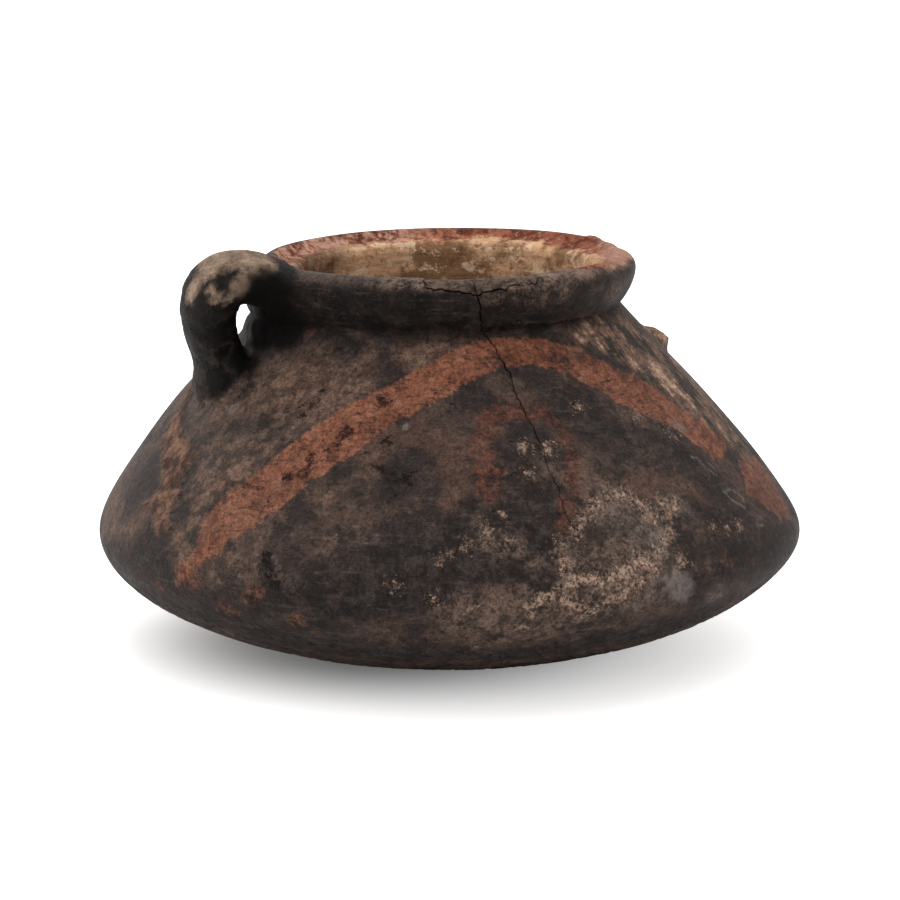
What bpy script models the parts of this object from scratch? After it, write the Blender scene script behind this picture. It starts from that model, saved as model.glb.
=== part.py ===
"""Squat hand-built clay jar with a rolled lip, one loop handle, and the stub of a lost handle across from it.

The jar stands on a small flat base centred on the origin. The front is -Y, +X is to the right, +Z is up.
"""
from math import atan2, cos, exp, pi, radians, sin, tan

import bmesh
import bpy
from mathutils import Matrix, Vector

# Body, all in metres
BASE_RADIUS = 0.0299
BODY_RADIUS = 0.1092
BODY_HEIGHT = 0.0381
NECK_RADIUS = 0.0538
NECK_HEIGHT = 0.1086
WALL = 0.0065
FLOOR = 0.0080

# Curves of the body: how far each end of a curve runs nearly straight, and at what slope
BASE_SLOPE = radians(7.8)
BASE_RUN = 0.0503
LOWER_RUN = 0.0152
UPPER_RUN = 0.0158
NECK_RUN = 0.0279
SHOULDER_SLOPE = radians(48.5)

# Rolled lip and mouth
LIP_RADIUS = 0.0590
COLLAR_HEIGHT = 0.0155
LIP_HEIGHT = NECK_HEIGHT + COLLAR_HEIGHT
LIP_ROUND = 0.0050
LIP_CREST = 0.0052
LIP_DROP = 0.0030
COLLAR_SLOPE = radians(46)
MOUTH_RADIUS = 0.0450
MOUTH_ROUND = 0.0016
BORE_DEPTH = 0.0150

# Unevenness left by hand building and by wear: how much, where round the jar, and how wide
RIM_TILT = radians(0.7)
BELLY_SWELL = 0.0022
BELLY_SWELL_AZIMUTH = radians(0)
BELLY_SWELL_ARC = radians(45)
SHOULDER_SWELL = 0.0026
SHOULDER_SWELL_AZIMUTH = radians(176)
SHOULDER_SWELL_ARC = radians(34)
NECK_FILL = 0.0085
NECK_FILL_ARC = radians(21)
LIP_WEAR = 0.0010
LIP_WEAR_AZIMUTH = radians(15)
LIP_WEAR_ARC = radians(9)

# Loop handle
HANDLE_AZIMUTH = radians(207)
HANDLE_REACH = 0.0882
HANDLE_RISE = 0.0064
HANDLE_WIDTH = 0.0245
HANDLE_THICKNESS = 0.0165
ROOT_WIDTH = 0.0290
FOOT_AZIMUTH = radians(200)
FOOT_HEIGHT = 0.0885
FOOT_WIDTH = 0.0175
FOOT_THICKNESS = 0.0120
FOOT_FLARE = 0.0030
FOOT_LEAN = radians(72)
BURIED = 0.0030

# Stub of the lost handle
STUB_AZIMUTH = radians(24)
STUB_FOOT = 0.0924
STUB_WIDTH = 0.0240
STUB_LENGTH = 0.0170
STUB_HEIGHT = 0.0034
STUB_TAPER = 0.72
STUB_BREAK = radians(10)

# Fineness
TURNS = 72
BODY_STEPS = 9
COLLAR_STEPS = 5
ROUND_STEPS = 4
FINE_STEPS = 2
HANDLE_SIDES = 18
HANDLE_STEPS = 8
SHARP = radians(40)
MERGE = 1e-6


def bezier(start, start_hand, end_hand, end, steps):
    """Points along a cubic curve in the plane of radius and height, with its first point left out."""
    points = []
    for i in range(1, steps + 1):
        t = i / steps
        u = 1 - t
        points.append(u ** 3 * start + 3 * u * u * t * start_hand + 3 * u * t * t * end_hand + t ** 3 * end)
    return points


def slope(angle):
    """Direction at an angle above the outward horizontal."""
    return Vector((cos(angle), sin(angle)))


def belly():
    """Outer curve from the edge of the base out to the widest line."""
    base = Vector((BASE_RADIUS, 0))
    widest = Vector((BODY_RADIUS, BODY_HEIGHT))
    start_hand = base + BASE_RUN * slope(BASE_SLOPE)
    end_hand = widest - Vector((0, LOWER_RUN))
    return [base] + bezier(base, start_hand, end_hand, widest, BODY_STEPS)


def shoulder():
    """Outer curve from the widest line in to the foot of the neck."""
    widest = Vector((BODY_RADIUS, BODY_HEIGHT))
    neck = Vector((NECK_RADIUS, NECK_HEIGHT))
    start_hand = widest + Vector((0, UPPER_RUN))
    end_hand = neck - NECK_RUN * slope(pi - SHOULDER_SLOPE)
    return [widest] + bezier(widest, start_hand, end_hand, neck, BODY_STEPS)


def normals(points):
    """Outward normals of an outline that has the clay on its left."""
    last = len(points) - 1
    steps = [points[min(i + 1, last)] - points[max(i - 1, 0)] for i in range(last + 1)]
    return [Vector((step.y, -step.x)).normalized() for step in steps]


def inset(points, first_wall, last_wall):
    """The outline moved into the clay, by a wall that changes evenly from one end to the other."""
    last = len(points) - 1
    walls = [first_wall + (last_wall - first_wall) * i / last for i in range(last + 1)]
    return [point - wall * normal for point, wall, normal in zip(points, walls, normals(points))]


def collar():
    """From the foot of the neck up the rolled collar, over the lip and down its inner slope into the mouth."""
    neck = Vector((NECK_RADIUS, NECK_HEIGHT))
    widest = Vector((LIP_RADIUS, LIP_HEIGHT - LIP_ROUND))
    crest = Vector((LIP_RADIUS - LIP_CREST, LIP_HEIGHT))
    edge = Vector((MOUTH_RADIUS + MOUTH_ROUND, LIP_HEIGHT - LIP_DROP))
    bore = edge - Vector((MOUTH_ROUND, MOUTH_ROUND))
    third = (widest.y - neck.y) / 3
    points = bezier(neck, neck + third * slope(COLLAR_SLOPE), widest - Vector((0, third)), widest, COLLAR_STEPS)
    out_hand = widest + Vector((0, 0.55 * LIP_ROUND))
    points += bezier(widest, out_hand, crest + Vector((0.45 * LIP_CREST, 0)), crest, ROUND_STEPS)
    points += bezier(crest, crest - Vector((LIP_CREST / 3, 0)), edge + Vector((MOUTH_ROUND, 0)), edge, ROUND_STEPS)
    half = MOUTH_ROUND / 2
    points += bezier(edge, edge - Vector((half, 0)), bore + Vector((0, half)), bore, FINE_STEPS)
    return points


def hollow():
    """From the mouth down the neck, under the shoulder and across the floor to the middle."""
    bore = Vector((MOUTH_RADIUS, LIP_HEIGHT - LIP_DROP - MOUTH_ROUND))
    bottom = Vector((MOUTH_RADIUS, LIP_HEIGHT - BORE_DEPTH))
    under = list(reversed(inset(shoulder(), WALL, WALL)))[1:]
    floor = list(reversed(inset(belly(), FLOOR, WALL)))[1:]
    turn = bottom.lerp(Vector((MOUTH_RADIUS, under[0].y)), 0.5)
    points = bezier(bore, bore.lerp(bottom, 1 / 3), bore.lerp(bottom, 2 / 3), bottom, FINE_STEPS)
    points += bezier(bottom, turn, under[0].lerp(turn, 0.5), under[0], FINE_STEPS)
    return points + under[1:] + floor + [Vector((0, FLOOR))]


def outline():
    """The jar's whole section, from the middle of its underside to the middle of its floor."""
    return [Vector((0, 0))] + belly() + shoulder()[1:] + collar() + hollow()


def rise(value, low, high):
    """0 below low, 1 above high and smooth between them."""
    t = min(max((value - low) / (high - low), 0.0), 1.0)
    return t * t * (3 - 2 * t)


def hump(value, spread):
    """1 at 0, fading smoothly away on both sides."""
    return exp(-(value / spread) ** 2)


def arc(angle, centre, spread):
    """A hump round the jar, with its middle in a direction."""
    return hump((angle - centre + pi) % (2 * pi) - pi, spread)


def uneven(point):
    """Where a point of the perfectly turned jar lies on the real one."""
    radius = Vector((point.x, point.y)).length
    angle = atan2(point.y, point.x)
    belly_part = hump(point.z - BODY_HEIGHT, 0.3 * BODY_HEIGHT)
    outward = BELLY_SWELL * belly_part * arc(angle, BELLY_SWELL_AZIMUTH, BELLY_SWELL_ARC)
    shoulder_part = hump(point.z - 0.78 * NECK_HEIGHT, 0.17 * NECK_HEIGHT)
    outward += SHOULDER_SWELL * shoulder_part * arc(angle, SHOULDER_SWELL_AZIMUTH, SHOULDER_SWELL_ARC)
    notch = hump(point.z - NECK_HEIGHT, 0.5 * COLLAR_HEIGHT) * rise(radius, MOUTH_RADIUS, NECK_RADIUS)
    outward += NECK_FILL * notch * arc(angle, FOOT_AZIMUTH, NECK_FILL_ARC)
    scale = 1 + outward / radius if radius > BASE_RADIUS else 1
    lip = rise(point.z, LIP_HEIGHT - LIP_ROUND, LIP_HEIGHT) * rise(radius, MOUTH_RADIUS, LIP_RADIUS)
    worn = LIP_WEAR * lip * arc(angle, LIP_WEAR_AZIMUTH, LIP_WEAR_ARC)
    tilt = point.x * tan(RIM_TILT) * rise(point.z, BODY_HEIGHT, NECK_HEIGHT)
    return Vector((point.x * scale, point.y * scale, point.z + tilt - worn))


def finish(name, bm, material=None):
    """Put a finished shape into the scene, smooth except where it turns hard."""
    bmesh.ops.remove_doubles(bm, verts=bm.verts, dist=MERGE)
    bmesh.ops.recalc_face_normals(bm, faces=bm.faces)
    mesh = bpy.data.meshes.new(name)
    bm.to_mesh(mesh)
    bm.free()
    mesh.shade_smooth()
    mesh.set_sharp_from_angle(angle=SHARP)
    if material:
        mesh.materials.append(material)
    thing = bpy.data.objects.new(name, mesh)
    bpy.context.scene.collection.objects.link(thing)
    return thing


def clay():
    """Low-fired dark brown clay, burnished to a satin."""
    material = bpy.data.materials.new("burnished_clay")
    material.use_nodes = True
    shader = material.node_tree.nodes["Principled BSDF"]
    shader.inputs["Base Color"].default_value = (0.055, 0.035, 0.026, 1)
    shader.inputs["Roughness"].default_value = 0.55
    shader.inputs["Metallic"].default_value = 0.0
    return material


def jar_body(material):
    """The section turned once round the axis, then made uneven."""
    bm = bmesh.new()
    verts = [bm.verts.new((point.x, 0, point.y)) for point in outline()]
    edges = [bm.edges.new(pair) for pair in zip(verts, verts[1:])]
    bmesh.ops.spin(bm, geom=verts + edges, cent=(0, 0, 0), axis=(0, 0, 1), angle=2 * pi, steps=TURNS, use_merge=True)
    bmesh.ops.remove_doubles(bm, verts=bm.verts, dist=MERGE)
    for vert in bm.verts:
        vert.co = uneven(vert.co)
    return finish("handled_jar", bm, material)


def place(azimuth, point):
    """A point of radius and height, set in a direction round the jar."""
    return Vector((point.x * cos(azimuth), point.x * sin(azimuth), point.y))


def ring(bm, azimuth, centre, along, width, thickness):
    """An oval ring of edges across a path that runs in the plane of radius and height."""
    across = Vector((-sin(azimuth), cos(azimuth), 0))
    ahead = place(azimuth, along).normalized()
    frame = Matrix((across, ahead.cross(across), ahead)).transposed().to_4x4()
    size = Matrix.Diagonal((width / 2, thickness / 2, 1, 1))
    pose = Matrix.Translation(place(azimuth, centre)) @ frame @ size
    made = bmesh.ops.create_circle(bm, cap_ends=False, segments=HANDLE_SIDES, radius=1, matrix=pose)
    return list({edge for vert in made["verts"] for edge in vert.link_edges})


def loft(bm, rings):
    """Skin from ring to ring, closed at both ends."""
    for lower, upper in zip(rings, rings[1:]):
        bmesh.ops.bridge_loops(bm, edges=lower + upper)
    bmesh.ops.holes_fill(bm, edges=rings[0] + rings[-1], sides=0)
    bmesh.ops.triangulate(bm, faces=[face for face in bm.faces if len(face.verts) > 4])


def shoulder_at(height):
    """Point of the shoulder at a height, and the outward normal there."""
    points = shoulder()
    for below, above, normal in zip(points, points[1:], normals(points)):
        if above.y >= height:
            return below.lerp(above, (height - below.y) / (above.y - below.y)), normal
    return points[-1], normals(points)[-1]


def handle_path():
    """Middle line of the loop, from inside the lip, up and over, down and into the shoulder."""
    half = HANDLE_THICKNESS / 2
    start = Vector(((MOUTH_RADIUS + LIP_RADIUS) / 2, NECK_HEIGHT + COLLAR_HEIGHT / 3))
    outer = Vector((HANDLE_REACH - half, NECK_HEIGHT + COLLAR_HEIGHT / 4))
    lift = 8 / 3 * (LIP_HEIGHT + HANDLE_RISE - half - (start.y + outer.y) / 2)
    start_hand = start + Vector((0.45 * (outer.x - start.x), 0.37 * lift))
    over = bezier(start, start_hand, outer + Vector((0, 0.63 * lift)), outer, HANDLE_STEPS)
    foot, normal = shoulder_at(FOOT_HEIGHT)
    fall = outer.y - foot.y
    foot_hand = foot + 0.3 * fall * slope(FOOT_LEAN)
    down = bezier(outer, outer - Vector((0, 0.25 * fall)), foot_hand, foot, HANDLE_STEPS - 2)
    return [start] + over + down + [foot - BURIED * normal]


def handle():
    """The loop, wide where it leaves the lip, slimmer towards its foot, with clay pressed out round the foot."""
    path = handle_path()
    last = len(path) - 1
    bm = bmesh.new()
    rings = []
    for i, point in enumerate(path):
        s = i / last
        azimuth = HANDLE_AZIMUTH + (FOOT_AZIMUTH - HANDLE_AZIMUTH) * rise(s, 0.3, 1)
        slim = rise(s, 0.5, 0.85)
        root = 1 - rise(s, 0, 0.35)
        flare = 2 * FOOT_FLARE * rise(s, 0.82, 1)
        tuck = BURIED * (1 - rise(s, 0, 0.12))
        width = HANDLE_WIDTH + (ROOT_WIDTH - HANDLE_WIDTH) * root + (FOOT_WIDTH - HANDLE_WIDTH) * slim
        thickness = HANDLE_THICKNESS + (FOOT_THICKNESS - HANDLE_THICKNESS) * slim - tuck
        along = path[min(i + 1, last)] - path[max(i - 1, 0)]
        rings.append(ring(bm, azimuth, point, along, width + flare, thickness + flare))
    loft(bm, rings)
    return finish("handle_clay", bm)


def stub():
    """Low broken root of the lost handle, standing square on the shoulder, its break sloping down and out."""
    foot, normal = shoulder_at(STUB_FOOT)
    bm = bmesh.new()
    rings = []
    for depth, share in ((-BURIED, 1), (0, 1), (2 * STUB_HEIGHT, STUB_TAPER)):
        rings.append(ring(bm, STUB_AZIMUTH, foot + depth * normal, normal, share * STUB_WIDTH, share * STUB_LENGTH))
    loft(bm, rings)
    across = Vector((-sin(STUB_AZIMUTH), cos(STUB_AZIMUTH), 0))
    facing = Matrix.Rotation(-STUB_BREAK, 3, across) @ place(STUB_AZIMUTH, normal)
    top = place(STUB_AZIMUTH, foot + STUB_HEIGHT * normal)
    everything = bm.verts[:] + bm.edges[:] + bm.faces[:]
    cut = bmesh.ops.bisect_plane(bm, geom=everything, dist=MERGE, plane_co=top, plane_no=facing, clear_outer=True)
    rim = [piece for piece in cut["geom_cut"] if isinstance(piece, bmesh.types.BMEdge)]
    bmesh.ops.holes_fill(bm, edges=rim, sides=0)
    return finish("stub_clay", bm)


def join(whole, piece):
    """Make the piece one clay with the whole."""
    union = whole.modifiers.new("join " + piece.name, "BOOLEAN")
    union.operation = "UNION"
    union.solver = "EXACT"
    union.object = piece
    piece.hide_render = True
    piece.display_type = "WIRE"


def main():
    for old in list(bpy.data.objects):
        bpy.data.objects.remove(old)
    jar = jar_body(clay())
    join(jar, handle())
    join(jar, stub())


main()
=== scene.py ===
"""Looks of a squat hand-built clay jar: its fine surface, cracks, painted bands, smoke clouds and crusts.

The jar stands on the origin. The front is -Y, +X is to the right, +Z is up. Places on its outside are
given as (azimuth in degrees, height in millimetres), with the front at -90 degrees.
"""

from math import atan2, cos, exp, hypot, pi, radians, sin, tan

import bmesh
import bpy
import numpy as np
from mathutils import Matrix, Vector, noise
from mathutils.kdtree import KDTree


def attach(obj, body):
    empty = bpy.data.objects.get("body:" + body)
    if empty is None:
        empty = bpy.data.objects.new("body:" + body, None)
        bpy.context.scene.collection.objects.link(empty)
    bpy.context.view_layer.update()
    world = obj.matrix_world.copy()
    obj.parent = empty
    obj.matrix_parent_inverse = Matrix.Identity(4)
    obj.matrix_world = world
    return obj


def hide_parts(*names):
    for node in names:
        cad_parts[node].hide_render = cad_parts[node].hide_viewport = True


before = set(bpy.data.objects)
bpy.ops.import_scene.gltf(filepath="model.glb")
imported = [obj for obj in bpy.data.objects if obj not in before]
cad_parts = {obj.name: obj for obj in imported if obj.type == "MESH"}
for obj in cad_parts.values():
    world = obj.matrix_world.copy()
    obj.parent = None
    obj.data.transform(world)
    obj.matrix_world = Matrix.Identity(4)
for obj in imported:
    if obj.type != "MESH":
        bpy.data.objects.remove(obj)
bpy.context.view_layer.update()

MM = 0.001

# Body, all in metres
BASE_RADIUS = 0.0299
BODY_RADIUS = 0.1092
BODY_HEIGHT = 0.0381
NECK_RADIUS = 0.0538
NECK_HEIGHT = 0.1086
WALL = 0.0065
FLOOR = 0.0080

# Curves of the body: how far each end of a curve runs nearly straight, and at what slope
BASE_SLOPE = radians(7.8)
BASE_RUN = 0.0503
LOWER_RUN = 0.0152
UPPER_RUN = 0.0158
NECK_RUN = 0.0279
SHOULDER_SLOPE = radians(48.5)

# Rolled lip and mouth
LIP_RADIUS = 0.0590
COLLAR_HEIGHT = 0.0160
LIP_HEIGHT = NECK_HEIGHT + COLLAR_HEIGHT
LIP_ROUND = 0.0050
LIP_CREST = 0.0052
LIP_DROP = 0.0030
COLLAR_SLOPE = radians(46)
MOUTH_RADIUS = 0.0450
MOUTH_ROUND = 0.0034
BORE_DEPTH = 0.0150

# Unevenness left by hand building and by wear: how much, where round the jar, and how wide
RIM_TILT = radians(0.7)
BELLY_SWELL = 0.0022
BELLY_SWELL_AZIMUTH = radians(0)
BELLY_SWELL_ARC = radians(45)
SHOULDER_SWELL = 0.0034
SHOULDER_SWELL_AZIMUTH = radians(176)
SHOULDER_SWELL_ARC = radians(34)
NECK_FILL = 0.0085
NECK_FILL_ARC = radians(21)
LIP_WEAR = 0.0010
LIP_WEAR_AZIMUTH = radians(15)
LIP_WEAR_ARC = radians(9)

# Loop handle
HANDLE_AZIMUTH = radians(208)
HANDLE_REACH = 0.0876
HANDLE_RISE = 0.0055
HANDLE_WIDTH = 0.0270
HANDLE_THICKNESS = 0.0165
ROOT_WIDTH = 0.0290
FOOT_AZIMUTH = radians(200)
FOOT_HEIGHT = 0.0893
FOOT_WIDTH = 0.0210
FOOT_THICKNESS = 0.0155
FOOT_FLARE = 0.0030
FOOT_LEAN = radians(72)
BURIED = 0.0030

# Stub of the lost handle
STUB_AZIMUTH = radians(24)
STUB_FOOT = 0.0936
STUB_WIDTH = 0.0240
STUB_LENGTH = 0.0170
STUB_HEIGHT = 0.0038
STUB_TAPER = 0.72
STUB_BREAK = radians(10)

# Fineness: the front half is turned in finer steps than the back
FRONT_TURNS = 270
BACK_TURNS = 120
BELLY_STEPS = 46
SHOULDER_STEPS = 74
COLLAR_STEPS = 12
ROUND_STEPS = 8
FINE_STEPS = 3
INNER_STEPS = 16
HANDLE_SIDES = 44
HANDLE_STEPS = 30
SHARP = radians(40)
MERGE = 1e-6

# Hand relief, in metres: waves, smoothed joints, grit, lumps, crusts, pits, the flake and the nub
WAVE_DEPTH = 0.00035
WAVE_LENGTH = 0.024
JOINT_REACH = 0.0034
JOINT_PASSES = 14
GRIT_SIZE = 0.0021
LUMP_SIZE = 0.0048
CRUST_HEIGHT = 0.00028
LUMP_HEIGHT = 0.0005
PIT_DEPTH = 0.00045
FLAKE_DEPTH = 0.0005
HANDLE_LUMP = 0.0009
UNDER_ROUGH = 0.0006
WIDEST_REACH = 0.016
NUB_HEIGHT = 0.0008
FLAT_BASE = 0.0004

# Painting: how far a shape is felt beyond its edge, in metres, and the value beyond that, in millimetres
PAINT_REACH = 0.016
FAR = -20.0

# Cracks: (azimuth, height) down the front, their width on the surface and their depth
MAIN_CRACK = [(-82, 124.4), (-81, 120.0), (-80, 115.5), (-79, 110.2), (-77, 106.9), (-75, 102.3),
              (-73, 97.1), (-73, 93.9), (-72, 87.9), (-71, 83.8), (-70, 77.9), (-70, 72.2), (-69, 66.3),
              (-69, 60.5), (-68, 56.6)]
MAIN_CRACK_WIDTH = 0.00048
MAIN_CRACK_DEPTH = 0.0028
FINE_CRACK = [(-78, 108.7), (-72, 109.1), (-67, 110.8), (-62, 109.1), (-53, 108.4), (-45, 108.8),
              (-29, 109.0)]
FINE_CRACK_WIDTH = 0.00032
FINE_CRACK_DEPTH = 0.0012
FLAKE_CRACK = [(-97, 124.2), (-95, 122.4), (-91, 121.9), (-86, 121.4), (-81, 119.9), (-76, 121.2),
               (-72, 122.1), (-67, 122.6), (-62, 121.9), (-61, 123.6)]
FLAKE_CRACK_WIDTH = 0.0008
FLAKE_CRACK_DEPTH = 0.0022

# How a crack is cut: a wedge of three sides on points close together, narrower at its two ends
TRAIL_STEP = 0.0006
WEDGE_SPREAD = 1.73
CRACK_BEND = 0.0050
CRACK_JAG = 0.0015
CRACK_SWELL = 0.0035
CRACK_TIP = 0.35

# Painted bands
BAND_TOP = [(-135, 43.9), (-135, 52.2), (-135, 57.7), (-131, 65.3), (-127, 72.6), (-124, 78.0),
            (-117, 85.6), (-110, 91.6), (-103, 95.6), (-97, 99.2), (-90, 103.1), (-80, 106.4),
            (-72, 106.7), (-58, 105.3), (-49, 101.7), (-39, 95.3), (-31, 89.6), (-26, 82.2), (-19, 75.3),
            (-16, 69.9)]
BAND_FOOT = [(-139, 31.8), (-137, 35.1), (-132, 42.8), (-129, 49.6), (-124, 55.2), (-119, 62.8),
             (-116, 69.0), (-109, 76.1), (-104, 82.8), (-96, 88.2), (-89, 92.3), (-83, 95.8), (-74, 98.7),
             (-65, 98.4), (-57, 95.6), (-50, 90.8), (-47, 86.1), (-39, 81.0), (-32, 75.0), (-29, 68.2),
             (-25, 66.2)]
BAND_END = [(-16, 67.8), (-6, 61.2), (-8, 47.5), (-12, 43.5), (-18, 46.8), (-25, 57.0)]


def bezier(start, start_hand, end_hand, end, steps):
    """Points along a cubic curve in the plane of radius and height, with its first point left out."""
    points = []
    for i in range(1, steps + 1):
        t = i / steps
        u = 1 - t
        points.append(u ** 3 * start + 3 * u * u * t * start_hand + 3 * u * t * t * end_hand + t ** 3 * end)
    return points


def slope(angle):
    """Direction at an angle above the outward horizontal."""
    return Vector((cos(angle), sin(angle)))


def belly(steps):
    """Outer curve from the edge of the base out to the widest line."""
    base = Vector((BASE_RADIUS, 0))
    widest = Vector((BODY_RADIUS, BODY_HEIGHT))
    start_hand = base + BASE_RUN * slope(BASE_SLOPE)
    end_hand = widest - Vector((0, LOWER_RUN))
    return [base] + bezier(base, start_hand, end_hand, widest, steps)


def shoulder(steps):
    """Outer curve from the widest line in to the foot of the neck."""
    widest = Vector((BODY_RADIUS, BODY_HEIGHT))
    neck = Vector((NECK_RADIUS, NECK_HEIGHT))
    start_hand = widest + Vector((0, UPPER_RUN))
    end_hand = neck - NECK_RUN * slope(pi - SHOULDER_SLOPE)
    return [widest] + bezier(widest, start_hand, end_hand, neck, steps)


def normals(points):
    """Outward normals of an outline that has the clay on its left."""
    last = len(points) - 1
    steps = [points[min(i + 1, last)] - points[max(i - 1, 0)] for i in range(last + 1)]
    return [Vector((step.y, -step.x)).normalized() for step in steps]


def inset(points, first_wall, last_wall):
    """The outline moved into the clay, by a wall that changes evenly from one end to the other."""
    last = len(points) - 1
    walls = [first_wall + (last_wall - first_wall) * i / last for i in range(last + 1)]
    return [point - wall * normal for point, wall, normal in zip(points, walls, normals(points))]


def collar():
    """From the foot of the neck up the collar, over the lip and down its inner slope into the mouth."""
    neck = Vector((NECK_RADIUS, NECK_HEIGHT))
    widest = Vector((LIP_RADIUS, LIP_HEIGHT - LIP_ROUND))
    crest = Vector((LIP_RADIUS - LIP_CREST, LIP_HEIGHT))
    edge = Vector((MOUTH_RADIUS + MOUTH_ROUND, LIP_HEIGHT - LIP_DROP))
    bore = edge - Vector((MOUTH_ROUND, MOUTH_ROUND))
    third = (widest.y - neck.y) / 3
    neck_hand = neck + third * slope(COLLAR_SLOPE)
    points = bezier(neck, neck_hand, widest - Vector((0, third)), widest, COLLAR_STEPS)
    out_hand = widest + Vector((0, 0.55 * LIP_ROUND))
    points += bezier(widest, out_hand, crest + Vector((0.45 * LIP_CREST, 0)), crest, ROUND_STEPS)
    edge_hand = edge + Vector((MOUTH_ROUND, 0))
    points += bezier(crest, crest - Vector((LIP_CREST / 3, 0)), edge_hand, edge, ROUND_STEPS)
    half = MOUTH_ROUND / 2
    points += bezier(edge, edge - Vector((half, 0)), bore + Vector((0, half)), bore, FINE_STEPS)
    return points


def hollow():
    """From the mouth down the neck, under the shoulder and across the floor to the middle."""
    bore = Vector((MOUTH_RADIUS, LIP_HEIGHT - LIP_DROP - MOUTH_ROUND))
    bottom = Vector((MOUTH_RADIUS, LIP_HEIGHT - BORE_DEPTH))
    under = list(reversed(inset(shoulder(INNER_STEPS), WALL, WALL)))[1:]
    floor = list(reversed(inset(belly(INNER_STEPS), FLOOR, WALL)))[1:]
    turn = bottom.lerp(Vector((MOUTH_RADIUS, under[0].y)), 0.5)
    points = bezier(bore, bore.lerp(bottom, 1 / 3), bore.lerp(bottom, 2 / 3), bottom, ROUND_STEPS)
    points += bezier(bottom, turn, under[0].lerp(turn, 0.5), under[0], FINE_STEPS)
    return points + under[1:] + floor + [Vector((0, FLOOR))]


def outline():
    """The jar's whole section, from the middle of its underside to the middle of its floor."""
    return [Vector((0, 0))] + belly(BELLY_STEPS) + shoulder(SHOULDER_STEPS)[1:] + collar() + hollow()


def rise(value, low, high):
    """0 below low, 1 above high and smooth between them."""
    t = min(max((value - low) / (high - low), 0.0), 1.0)
    return t * t * (3 - 2 * t)


def hump(value, spread):
    """1 at 0, fading smoothly away on both sides."""
    return exp(-(value / spread) ** 2)


def arc(angle, centre, spread):
    """A hump round the jar, with its middle in a direction."""
    return hump((angle - centre + pi) % (2 * pi) - pi, spread)


def swell(angle, height):
    """How far the body swells out in a direction and at a height."""
    belly_part = hump(height - BODY_HEIGHT, 0.3 * BODY_HEIGHT)
    shoulder_part = hump(height - 0.78 * NECK_HEIGHT, 0.17 * NECK_HEIGHT)
    outward = BELLY_SWELL * belly_part * arc(angle, BELLY_SWELL_AZIMUTH, BELLY_SWELL_ARC)
    return outward + SHOULDER_SWELL * shoulder_part * arc(angle, SHOULDER_SWELL_AZIMUTH, SHOULDER_SWELL_ARC)


def uneven(point):
    """Where a point of the perfectly turned jar lies on the real one."""
    radius = hypot(point.x, point.y)
    angle = atan2(point.y, point.x)
    outward = swell(angle, point.z)
    notch = hump(point.z - NECK_HEIGHT, 0.5 * COLLAR_HEIGHT) * rise(radius, MOUTH_RADIUS, NECK_RADIUS)
    outward += NECK_FILL * notch * arc(angle, FOOT_AZIMUTH, NECK_FILL_ARC)
    scale = 1 + outward / radius if radius > BASE_RADIUS else 1
    lip = rise(point.z, LIP_HEIGHT - LIP_ROUND, LIP_HEIGHT) * rise(radius, MOUTH_RADIUS, LIP_RADIUS)
    worn = LIP_WEAR * lip * arc(angle, LIP_WEAR_AZIMUTH, LIP_WEAR_ARC)
    tilt = point.x * tan(RIM_TILT) * rise(point.z, BODY_HEIGHT, NECK_HEIGHT)
    return Vector((point.x * scale, point.y * scale, point.z + tilt - worn))


def thing(name, bm):
    """Put a closed shape into the scene, facing outwards."""
    bmesh.ops.remove_doubles(bm, verts=bm.verts, dist=MERGE)
    bmesh.ops.recalc_face_normals(bm, faces=bm.faces)
    mesh = bpy.data.meshes.new(name)
    bm.to_mesh(mesh)
    bm.free()
    made = bpy.data.objects.new(name, mesh)
    bpy.context.scene.collection.objects.link(made)
    return made


def turned_body():
    """The section turned once round the axis, in two halves that meet at the sides, then made uneven."""
    bm = bmesh.new()
    section = outline()
    for angle, turns in ((-pi, FRONT_TURNS), (pi, BACK_TURNS)):
        verts = [bm.verts.new((point.x, 0, point.y)) for point in section]
        edges = [bm.edges.new(pair) for pair in zip(verts, verts[1:])]
        bmesh.ops.spin(bm, geom=verts + edges, cent=(0, 0, 0), axis=(0, 0, 1), angle=angle, steps=turns)
    bmesh.ops.remove_doubles(bm, verts=bm.verts, dist=MERGE)
    for vert in bm.verts:
        vert.co = uneven(vert.co)
    return thing("jar", bm)


def place(azimuth, point):
    """A point of radius and height, set in a direction round the jar."""
    return Vector((point.x * cos(azimuth), point.x * sin(azimuth), point.y))


def hoop(bm, sides, pose):
    """Edges of a ring with so many sides, set in its place."""
    made = bmesh.ops.create_circle(bm, cap_ends=False, segments=sides, radius=1, matrix=pose)
    return list({edge for vert in made["verts"] for edge in vert.link_edges})


def ring(bm, azimuth, centre, along, width, thickness):
    """An oval ring of edges across a path that runs in the plane of radius and height."""
    across = Vector((-sin(azimuth), cos(azimuth), 0))
    ahead = place(azimuth, along).normalized()
    axes = Matrix((across, ahead.cross(across), ahead)).transposed().to_4x4()
    size = Matrix.Diagonal((width / 2, thickness / 2, 1, 1))
    return hoop(bm, HANDLE_SIDES, Matrix.Translation(place(azimuth, centre)) @ axes @ size)


def loft(bm, rings):
    """Skin from ring to ring, closed at both ends."""
    for lower, upper in zip(rings, rings[1:]):
        bmesh.ops.bridge_loops(bm, edges=lower + upper)
    bmesh.ops.holes_fill(bm, edges=rings[0] + rings[-1], sides=0)


def shoulder_at(height):
    """Point of the shoulder at a height, and the outward normal there."""
    points = shoulder(SHOULDER_STEPS)
    for below, above, normal in zip(points, points[1:], normals(points)):
        if above.y >= height:
            return below.lerp(above, (height - below.y) / (above.y - below.y)), normal
    return points[-1], normals(points)[-1]


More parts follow.
